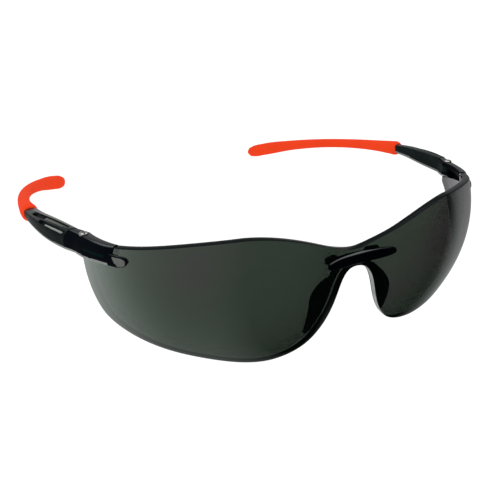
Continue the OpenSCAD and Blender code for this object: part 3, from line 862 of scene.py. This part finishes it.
def endpiece_solid():
    core = loft(rounded_ends(core_rings(), grow=0.12, count=2))
    # the lobe's sections are closest together at its front tip
    lobe_rings = [lobe_ring(mix(LOBE_START, END_ALONG, t ** 1.6)) for t in steps(0, 1, 60)]
    lobe = loft(rounded_ends(lobe_rings, grow=0.25, count=4, last=False))
    solid = boolean(boolean(core, [lobe], "UNION"), [
        prism(POCKET, HUB_BOTTOM - HUB_GAP, HUB_TOP + HUB_GAP),
        prism(hollow_outline(), -0.3, 5.7),
        hinge_rod(0, 20, BORE_RADIUS),
        hinge_rod(7.25, 12.25, 1.35),            # wider hole in the top
        hinge_rod(-1, 5, 1.45)])                 # wider hole in the underside
    solid.normal_update()
    for face in solid.faces:
        face.material_index = piece_face_material(face)
    return solid


for side, name in SIDES:
    make("endpiece_" + name, endpiece_solid(), "front", PIECE_MATERIALS,
         sharp=32, side=side)

# ------------------------------------------------------------------ bridge bar
BAR_HALF, BAR_HALF_HEIGHT, BAR_Z = 12.1, 1.7, -2.3


def bar_ring(along):
    taper = math.sqrt(max(0.0, 1 - (abs(along) / (BAR_HALF + 0.75)) ** 4))
    half = BAR_HALF_HEIGHT * taper
    thick = 0.95 + max(0.0, cos_deg(min(90, 6.6 * abs(along)))) ** 1.5
    middle = BAR_Z + 0.5 * (along / BAR_HALF) ** 2
    # height in half heights from the middle; distance in front of the lens
    points = ((-1, 0.05), (-1, 0.12 + 0.5 * thick), (-0.5, 0.12 + 0.95 * thick),
              (0.2, 0.12 + 1.03 * thick), (0.8, 0.12 + 0.8 * thick), (1, 0.12 + 0.3 * thick),
              (1, 0.05), (0, 0.03))
    return cut_corners(upright(along, [(middle + k * half, out) for k, out in points]), SOFT)


def bar_solid():
    rings = [bar_ring(BAR_HALF * sin_deg(90 * share)) for share in steps(-1, 1, 80)]
    return boolean(loft(rounded_ends(rings, grow=0.3, count=4)),
                   tab_blocks(gap=0, front=-0.9, back=3.3), "UNION")


make("nose_bridge_bar", bar_solid(), "front", [BAR_BLACK], sharp=40)

# ------------------------------------------------------------------ nose pads
# height; distance along the lens to the outer edge of the carrier's wing
WING_EDGE = ([-25.4, -23.5, -20.5, -17, -13.4, -10.3, -8.2, -6.4],
             [13.45, 13.85, 14.2, 14.1, 13.3, 11.1, 9.1, 7.2])
# height; depth of the pad behind the wing
PAD_DEPTH = ([-25.5, -24.8, -21, -17, -13, -10, -8.4, -7],
             [0.5, 0.8, 1.4, 2.1, 3.0, 2.4, 1.3, 0.8])


def pad_ring(z):
    near, far, depth = nasal(z) + 0.25, curve(WING_EDGE, z) - 0.25, curve(PAD_DEPTH, z)
    base = -LENS_THICK - 1.0
    slant = min(2.3, 0.45 * (far - near))
    crest = far - slant                          # rearmost line of the pad
    return cut_corners(level(z, [
        (near, base), (near + 0.3 * (crest - near), base - 0.36 * depth),
        (near + 0.7 * (crest - near), base - 0.78 * depth), (crest, base - depth),
        (far - 0.4 * slant, base - 0.76 * depth), (far - 0.1 * slant, base - 0.36 * depth),
        (far, base - 0.12 * depth), (far - 0.08, base)]), SOFT)


for side, name in SIDES:
    pad_rings = [pad_ring(z) for z in steps(-25.3, -8.25, 60)]
    make("nose_pad_" + name, loft(rounded_ends(pad_rings, grow=0.25, count=3)), "front",
         [PAD_RUBBER], sharp=50, side=side)

# ------------------------------------------------------------------ nose carrier
CARRIER_FRONT = -LENS_THICK - 0.12               # just behind the lens
SADDLE_LOW = ([0, 3.0, 6.0, 7.0, 8.5], [-4.75, -4.95, -4.6, -3.4, -3.3])  # along; lower edge
STEM_EDGE = ([-8, -6, -3], [8.0, 6.3, 6.0])      # height; outer edge along the lens


def wing_ring(z):
    near, far = nasal(z) + 0.12, curve(WING_EDGE, z)
    middle = (near + far) / 2
    return cut_corners(level(z, [
        (near, CARRIER_FRONT), (near, -LENS_THICK - 0.8), (middle, -LENS_THICK - 0.92),
        (far - 0.25, -LENS_THICK - 0.87), (far, -LENS_THICK - 0.45),
        (far - 0.15, CARRIER_FRONT), (middle, CARRIER_FRONT)]), CRISP)


def saddle_ring(along):
    """Section of the cross-piece over the nose."""
    away = abs(along)
    high = -2.6 if away < 4.2 else -2.6 + 1.2 * min(1, (away - 4.2) / 0.8)
    low, back = curve(SADDLE_LOW, away), -LENS_THICK - 1.7
    return cut_corners(upright(along, [
        (low, CARRIER_FRONT), (high, CARRIER_FRONT), (high, back), (low, back)]), CRISP)


def stem_ring(z):
    """Section of the stem from the cross-piece down to a wing."""
    near = nasal(z) + 0.4 if z < -5.1 else 3.4 - (z + 5.1) * 0.3
    far, back = curve(STEM_EDGE, z), -LENS_THICK - 1.2
    return cut_corners(level(z, [
        (near, CARRIER_FRONT), (near, back), (far, back), (far, CARRIER_FRONT)]), CRISP)


def carrier_solid():
    saddle = loft([saddle_ring(along) for along in steps(-8.4, 8.4, 48)])
    additions = []
    for side, _ in SIDES:
        for piece in (loft([wing_ring(z) for z in steps(-25.2, -6.4, 40)]),
                      loft([stem_ring(z) for z in steps(-8.0, -3.2, 10)])):
            for vertex in piece.verts:
                vertex.co.x *= side
            additions.append(piece)
    return boolean(boolean(saddle, additions, "UNION"),
                   tab_blocks(CARRIER_SLOT_GAP, front=2, back=5))


make("nose_piece_carrier", carrier_solid(), "front", [CARRIER_DARK], sharp=35)

# ------------------------------------------------------------------ temple line
# centre line of the sleeve, curling inwards and drooping behind the arm
ARM_END = 66.2                                   # y where the sleeve starts
SLEEVE_LENGTH = 82.2
HEAD_START, HEAD_END = 2.5, 45.0                 # inward heading at the two ends, degrees
PITCH, DROOP = 6.0, 10.0                         # downward pitch at the start, and its increase
LINE_STEPS = 400


def heading(t):
    """Direction of the line at a share t of its length."""
    head = HEAD_START + (HEAD_END - HEAD_START) * t ** 1.2
    pitch = -(PITCH + DROOP * t ** 1.5)
    return Vector((-sin_deg(head) * cos_deg(pitch), cos_deg(head) * cos_deg(pitch),
                   sin_deg(pitch)))


LINE = [Vector((74.6, ARM_END, 4.3))]
for i in range(LINE_STEPS):
    LINE.append(LINE[-1] + heading((i + 0.5) / LINE_STEPS) * SLEEVE_LENGTH / LINE_STEPS)


def line(t):
    if t < 0:
        return LINE[0] + heading(0) * t * SLEEVE_LENGTH
    place = min(t, 0.99999) * LINE_STEPS
    i = int(math.floor(place))
    return LINE[i] + (LINE[i + 1] - LINE[i]) * (place - i)


def oval(t, half_width, half_height, count, power=1.0):
    """Ring square to the line; a power below 1 squares it off."""
    middle, forward = line(t), heading(max(0, t))
    across = Vector((forward.y, -forward.x, 0)).normalized()
    upward = across.cross(forward)
    ring = []
    for k in range(count):
        angle = 360 * (k + 0.5) / count
        u, v = cos_deg(angle), sin_deg(angle)
        ring.append(middle + across * half_width * math.copysign(abs(u) ** power, u)
                    + upward * half_height * math.copysign(abs(v) ** power, v))
    return ring


# ------------------------------------------------------------------ temple arms
# y; x of the inner and outer sides, heights of the top and bottom
ARM_IN = ([37, 50, 60, 67], [68.1, 70.4, 72.1, 72.7])
ARM_OUT = ([37, 44, 50, 60, 67], [72.4, 74.4, 75.5, 76.4, 76.5])
ARM_TOP = ([37, 50, 60, 67], [8.0, 7.3, 6.5, 5.9])
ARM_BOTTOM = ([37, 50, 60, 67], [2.1, 2.2, 2.5, 2.6])
# y; drop of the top towards the outer side, and rise of the ridge in its middle
ARM_FALL = ([37, 46, 55, 67], [1.9, 1.2, 0.7, 0.3])
ARM_RIDGE = ([37, 46, 58, 67], [0.15, 0.5, 0.4, 0.05])
# grooves in the top: y; near and far edges as shares of the width from the inner side
GROOVE_IN = ([38.9, 43, 47, 52, 56, 60], [0.28, 0.3, 0.34, 0.4, 0.45, 0.5],
             [0.6, 0.61, 0.64, 0.7, 0.77, 0.82])
GROOVE_OUT = ([38.9, 43, 47, 52.5], [0.69, 0.7, 0.73, 0.78], [0.9, 0.9, 0.92, 0.95])
GROOVE_DEPTH = 0.8
# near edge of the outer groove, carried on to the end of the inner one
GROOVE_OUT_NEAR = (GROOVE_OUT[0] + [60], GROOVE_OUT[1] + [0.9])
# tang inside the sleeve, and its share of the sleeve's length
TANG_HALF_WIDTH, TANG_HALF_HEIGHT, TANG_END = 1.2, 1.15, 58 / SLEEVE_LENGTH
ARM_MATERIALS = [ARM_SMOKE, GROOVE_OUTER_PAINTED_LIGHT, GROOVE_INNER_PAINTED_DIM_LIGHT, ARM_SHADE, ARM_LOWER_EDGE_PAINTED_LIGHT]


def arm_over(y, share):
    """Height of the arm's upper surface at a share of its width from the inner side."""
    ridge, fall = curve(ARM_RIDGE, y), curve(ARM_FALL, y)
    profile = ([0, 0.3, 0.5, 0.74, 1], [0, 0.7 * ridge, ridge, 0.35 * (ridge - fall), -fall])
    return curve(ARM_TOP, y) + curve(profile, share)


def arm_ring(y):
    tables = (ARM_IN, ARM_OUT, ARM_TOP, ARM_BOTTOM, ARM_FALL)
    inner, outer, top, bottom, fall = (curve(table, y) for table in tables)
    over = [(inner + share * (outer - inner), arm_over(y, share)) for share in (0.3, 0.5, 0.74)]
    points = [(inner, bottom + 0.5), (inner, top - 0.35), (inner + 0.2, top - 0.03), *over,
              (outer - 0.15, top - fall), (outer, top - fall - 0.9), (outer - 0.05, bottom + 0.9),
              (outer - 0.5, bottom + 0.05), (outer - 1.2, bottom - 0.05), (inner + 0.5, bottom)]
    return cut_corners([Vector((x, y, z)) for x, z in points], ROUND)


def arm_end_ring():
    """Last section of the arm, turned square to the sleeve."""
    ring = arm_ring(ARM_END)
    forward, middle = heading(0), LINE[0]
    for point in ring:
        point.y -= (forward.x * (point.x - middle.x)
                    + forward.z * (point.z - middle.z)) / forward.y
    return ring


def groove(stations, near_edge, far_edge):
    """Cutter for a groove that narrows to rounded ends."""
    rings = []
    for y in steps(stations[0], stations[-1], 26):
        inner, width = curve(ARM_IN, y), curve(ARM_OUT, y) - curve(ARM_IN, y)
        near, far = curve((stations, near_edge), y), curve((stations, far_edge), y)
        to_end = max(0.0, min(y - stations[0], stations[-1] - y))
        middle = (near + far) / 2
        half = (far - near) / 2 * min(1.0, 0.55 + math.sqrt(to_end) * 0.6)
        # share of the width; height from the arm's upper surface
        points = ((middle - half, -GROOVE_DEPTH + 0.15), (middle - 0.8 * half, -GROOVE_DEPTH),
                  (middle + 0.8 * half, -GROOVE_DEPTH), (middle + half, -GROOVE_DEPTH + 0.15),
                  (middle + half, 1.2), (middle - half, 1.2))
        rings.append([Vector((inner + share * width, y, arm_over(y, share) + lift))
                      for share, lift in points])
    return loft(rings)


def arm_face_material(face):
    """Index in ARM_MATERIALS: painted light on the groove floors, painted shade towards their rear,
    and painted light on the lower edge.
    """
    x, y, z = face.calc_center_median()
    if 38.9 < y < 60:
        share = (x - curve(ARM_IN, y)) / (curve(ARM_OUT, y) - curve(ARM_IN, y))
        if 0.2 < share < 0.98 and arm_over(y, share) - z > 0.55 and face.normal.z > 0.5:
            between = 0.5 * (curve((GROOVE_IN[0], GROOVE_IN[2]), y) + curve(GROOVE_OUT_NEAR, y))
            # painted light on the groove floors, painted shade towards their rear
            if share > between:
                return 1 if y < 49.5 else 3
            return 2 if y < 53 else 3
    # painted light on the lower edge
    if SEAM + 0.3 < y < 66 and z < curve(ARM_BOTTOM, y) + 1.05:
        return 4
    return 0


def arm_solid():
    rings = [arm_ring(y) for y in steps(SEAM + 0.15, ARM_END, 60)[:-1]] + [arm_end_ring()]
    body = loft(rounded_ends(rings, grow=0.1, count=2, last=False))
    tang_rings = []
    for i, t in enumerate(steps(-0.035, TANG_END, 50)):
        size = 0.8 if i == 50 else 1
        tang_rings.append(oval(t, TANG_HALF_WIDTH * size, TANG_HALF_HEIGHT * size, 28))
    neck = [(HINGE_X - HUB_RADIUS, HINGE_Y), (HINGE_X + HUB_RADIUS, HINGE_Y),
            (70.75, SEAM + 0.6), (68.4, SEAM + 0.6), (66.9, HINGE_Y + 2.6)]
    solid = boolean(body, [loft(tang_rings),
                           hinge_rod(HUB_BOTTOM, HUB_TOP, HUB_RADIUS, sides=72),
                           prism(neck, HUB_BOTTOM, HUB_TOP)], "UNION")
    solid = boolean(solid, [groove(*GROOVE_IN), groove(*GROOVE_OUT),
                            hinge_rod(0, 12, BORE_RADIUS)])
    for face in solid.faces:
        face.material_index = arm_face_material(face)
    return solid


# ------------------------------------------------------------------ temple sleeves
# share of the length; half width and half height
SLEEVE_STATIONS = [0, 0.012, 0.05, 0.12, 0.3, 0.5, 0.72, 0.9, 0.965, 0.992, 1]
SLEEVE_WIDTH = (SLEEVE_STATIONS, [2.1, 2.45, 2.5, 2.2, 1.9, 1.85, 1.95, 2.1, 1.85, 1.1, 0.45])
SLEEVE_HEIGHT = (SLEEVE_STATIONS, [2.2, 2.65, 2.65, 2.35, 1.95, 1.9, 2.25, 2.75, 2.45, 1.5, 0.55])
SLEEVE_RING = 40
BORE_GAP = 0.18                                  # play round the tang
# extra sections where the ends curve quickly
END_SECTIONS = [0.004, 0.008, 0.012, 0.018, 0.97, 0.98, 0.985, 0.992, 0.996]


def sleeve_solid():
    solid = bmesh.new()
    shift = heading(0) * 0.1                     # gap between the arm and the sleeve

    def row(t, half_width, half_height, power=1.0):
        ring = oval(t, half_width, half_height, SLEEVE_RING, power)
        return [solid.verts.new(point + shift) for point in ring]

    outside = [row(t, curve(SLEEVE_WIDTH, t), curve(SLEEVE_HEIGHT, t), power=0.94)
               for t in sorted(steps(0, 1, 90) + END_SECTIONS)]
    bore = [row(t, TANG_HALF_WIDTH + BORE_GAP, TANG_HALF_HEIGHT + BORE_GAP)
            for t in steps(0, TANG_END + 0.012, 30)]
    # a soft lip between the outside and the bore
    lip = [solid.verts.new((a.co + b.co) / 2 - heading(0) * 0.12)
           for a, b in zip(outside[0], bore[0])]
    skin(solid, outside[::-1] + [lip] + bore, push=heading(1) * 0.18)
    return solid


for side, name in SIDES:
    make("temple_arm_" + name, arm_solid(), "temple_" + name, ARM_MATERIALS,
         sharp=35, side=side)
    make("temple_sleeve_" + name, sleeve_solid(), "temple_" + name, [ORANGE],
         sharp=60, side=side)

# ------------------------------------------------------------------ hardware kept from the CAD
for _, name in SIDES:
    for part, material, slot in (("hinge_screw_", STEEL, "screw_steel"),
                                 ("hinge_insert_", BRASS, "insert_brass")):
        hardware = frame["nodes"][part + name]
        mesh = hardware.data
        mesh.materials.clear()
        mesh.materials.append(material)
        mesh.polygons.foreach_set("use_smooth", [True] * len(mesh.polygons))
        mesh.set_sharp_from_angle(angle=math.radians(30))

# ------------------------------------------------------------------ studio
FLOOR_RADIUS, FLOOR_Z, FLOOR_SIDES = 6.0, -0.0002, 48      # metres


def studio_glow(shader, direction, low, high):
    """Brightness seen in reflections: light behind the glasses and dark in front of them."""
    def facing(toward):
        return shader.node("VectorMath", direction, toward,
                           operation="DOT_PRODUCT").outputs["Value"]

    main = shader.map_range(facing((-0.8, 0.6, 0.0)), source=(-0.45, 0.9), target=(low, high))
    # a dimmer glow behind, on the wearer's left
    second = shader.map_range(facing((0.75, 0.62, -0.24)), source=(0.56, 1.0),
                              target=(0.0, 0.3), kind="SMOOTHSTEP")
    return shader.math("ADD", main, second)


def floor_material():
    """Glowing pale floor; glossy rays see the studio's light and dark sides instead."""
    shader = new_material("studio_floor")
    diffuse = shader.add("BsdfDiffuse", Color=0.12)
    glow = shader.add("Emission", Color=1, Strength=0.98)
    plain = shader.node("AddShader", diffuse, glow).outputs[0]
    incoming = shader.add("NewGeometry", "Incoming")
    direction = shader.add("VectorMath", operation="SCALE", Vector=incoming, Scale=-1.0)
    mirrored = shader.add("Emission", Color=1,
                          Strength=studio_glow(shader, direction, low=0.004, high=0.84))
    glossy_ray = shader.add("LightPath", "Is Glossy Ray")
    material = shader.finish(shader.mix_shader(glossy_ray, plain, mirrored))
    # these settings exist only while Cycles is enabled
    if hasattr(material, "cycles"):
        material.cycles.emission_sampling = "NONE"
    return material


def build_floor():
    disc = bmesh.new()
    angles = [360 * i / FLOOR_SIDES for i in range(FLOOR_SIDES)]
    disc.faces.new([disc.verts.new((FLOOR_RADIUS * cos_deg(a), FLOOR_RADIUS * sin_deg(a), FLOOR_Z))
                    for a in angles])
    mesh = bpy.data.meshes.new("studio_floor")
    disc.to_mesh(mesh)
    disc.free()
    floor = bpy.data.objects.new("studio_floor", mesh)
    scene.collection.objects.link(floor)
    mesh.materials.append(floor_material())


def build_world():
    """Even white light, with the studio's sides in glossy rays."""
    world = bpy.data.worlds.new("studio")
    scene.world = world
    # these settings exist only while Cycles is enabled
    if hasattr(world, "cycles"):
        world.cycles.sampling_method = "NONE"
    shader = Shader(world, "OutputWorld")
    even = shader.add("Background", Color=1, Strength=1.0)
    direction = shader.add("TexCoord", "Generated")
    mirrored = shader.add("Background", Color=1,
                          Strength=studio_glow(shader, direction, low=0.02, high=0.87))
    glossy_ray = shader.add("LightPath", "Is Glossy Ray")
    shader.finish(shader.mix_shader(glossy_ray, even, mirrored))


def area_light(name, place, size, power):
    """Rectangular light aimed at the glasses; place and size in metres, power in watts."""
    data = bpy.data.lights.new(name, "AREA")
    data.shape = "RECTANGLE"
    data.size, data.size_y = size
    data.energy = power
    light = bpy.data.objects.new(name, data)
    scene.collection.objects.link(light)
    light.location = place
    aim = Vector((0, 0, 0.02)) - Vector(place)
    light.rotation_euler = aim.to_track_quat("-Z", "Y").to_euler()
    return light


build_floor()
build_world()
area_light("key_top", place=(-0.35, 0.25, 0.6), size=(0.4, 0.4), power=0.3)
# overhead softbox seen only in glossy reflections
softbox = area_light("softbox_top", place=(0.1, 0.25, 0.7), size=(1.1, 0.8), power=6.0)
softbox.visible_diffuse = False
softbox.visible_transmission = False
softbox.visible_camera = False

# ------------------------------------------------------------------ camera
# in front of the wearer's right side and above; angles in degrees, worn frame
AZIMUTH, ELEVATION, ROLL = -30.219, 23.359, -0.417
DISTANCE = 166.54
TARGET = Vector((-35.246, 0.0, 7.745))


def build_camera():
    backward = Vector((sin_deg(AZIMUTH) * cos_deg(ELEVATION),
                       -cos_deg(AZIMUTH) * cos_deg(ELEVATION), sin_deg(ELEVATION)))
    level_right = Vector((cos_deg(AZIMUTH), sin_deg(AZIMUTH), 0.0))
    level_up = backward.cross(level_right)
    right = level_right * cos_deg(ROLL) + level_up * sin_deg(ROLL)
    up = level_up * cos_deg(ROLL) - level_right * sin_deg(ROLL)
    data = bpy.data.cameras.new("camera")
    data.sensor_width = 36.0
    data.lens = 47.356
    data.clip_start = 0.01
    data.clip_end = 50
    camera = bpy.data.objects.new("camera", data)
    scene.collection.objects.link(camera)
    pose = Matrix((lean(right), lean(up), lean(backward))).transposed().to_4x4()
    pose.translation = rest(TARGET + backward * DISTANCE)
    camera.matrix_world = pose
    scene.camera = camera


build_camera()

scene.view_settings.view_transform = "Standard"
scene.view_settings.look = "None"
scene.view_settings.exposure = 0.0
scene.view_settings.gamma = 1.0
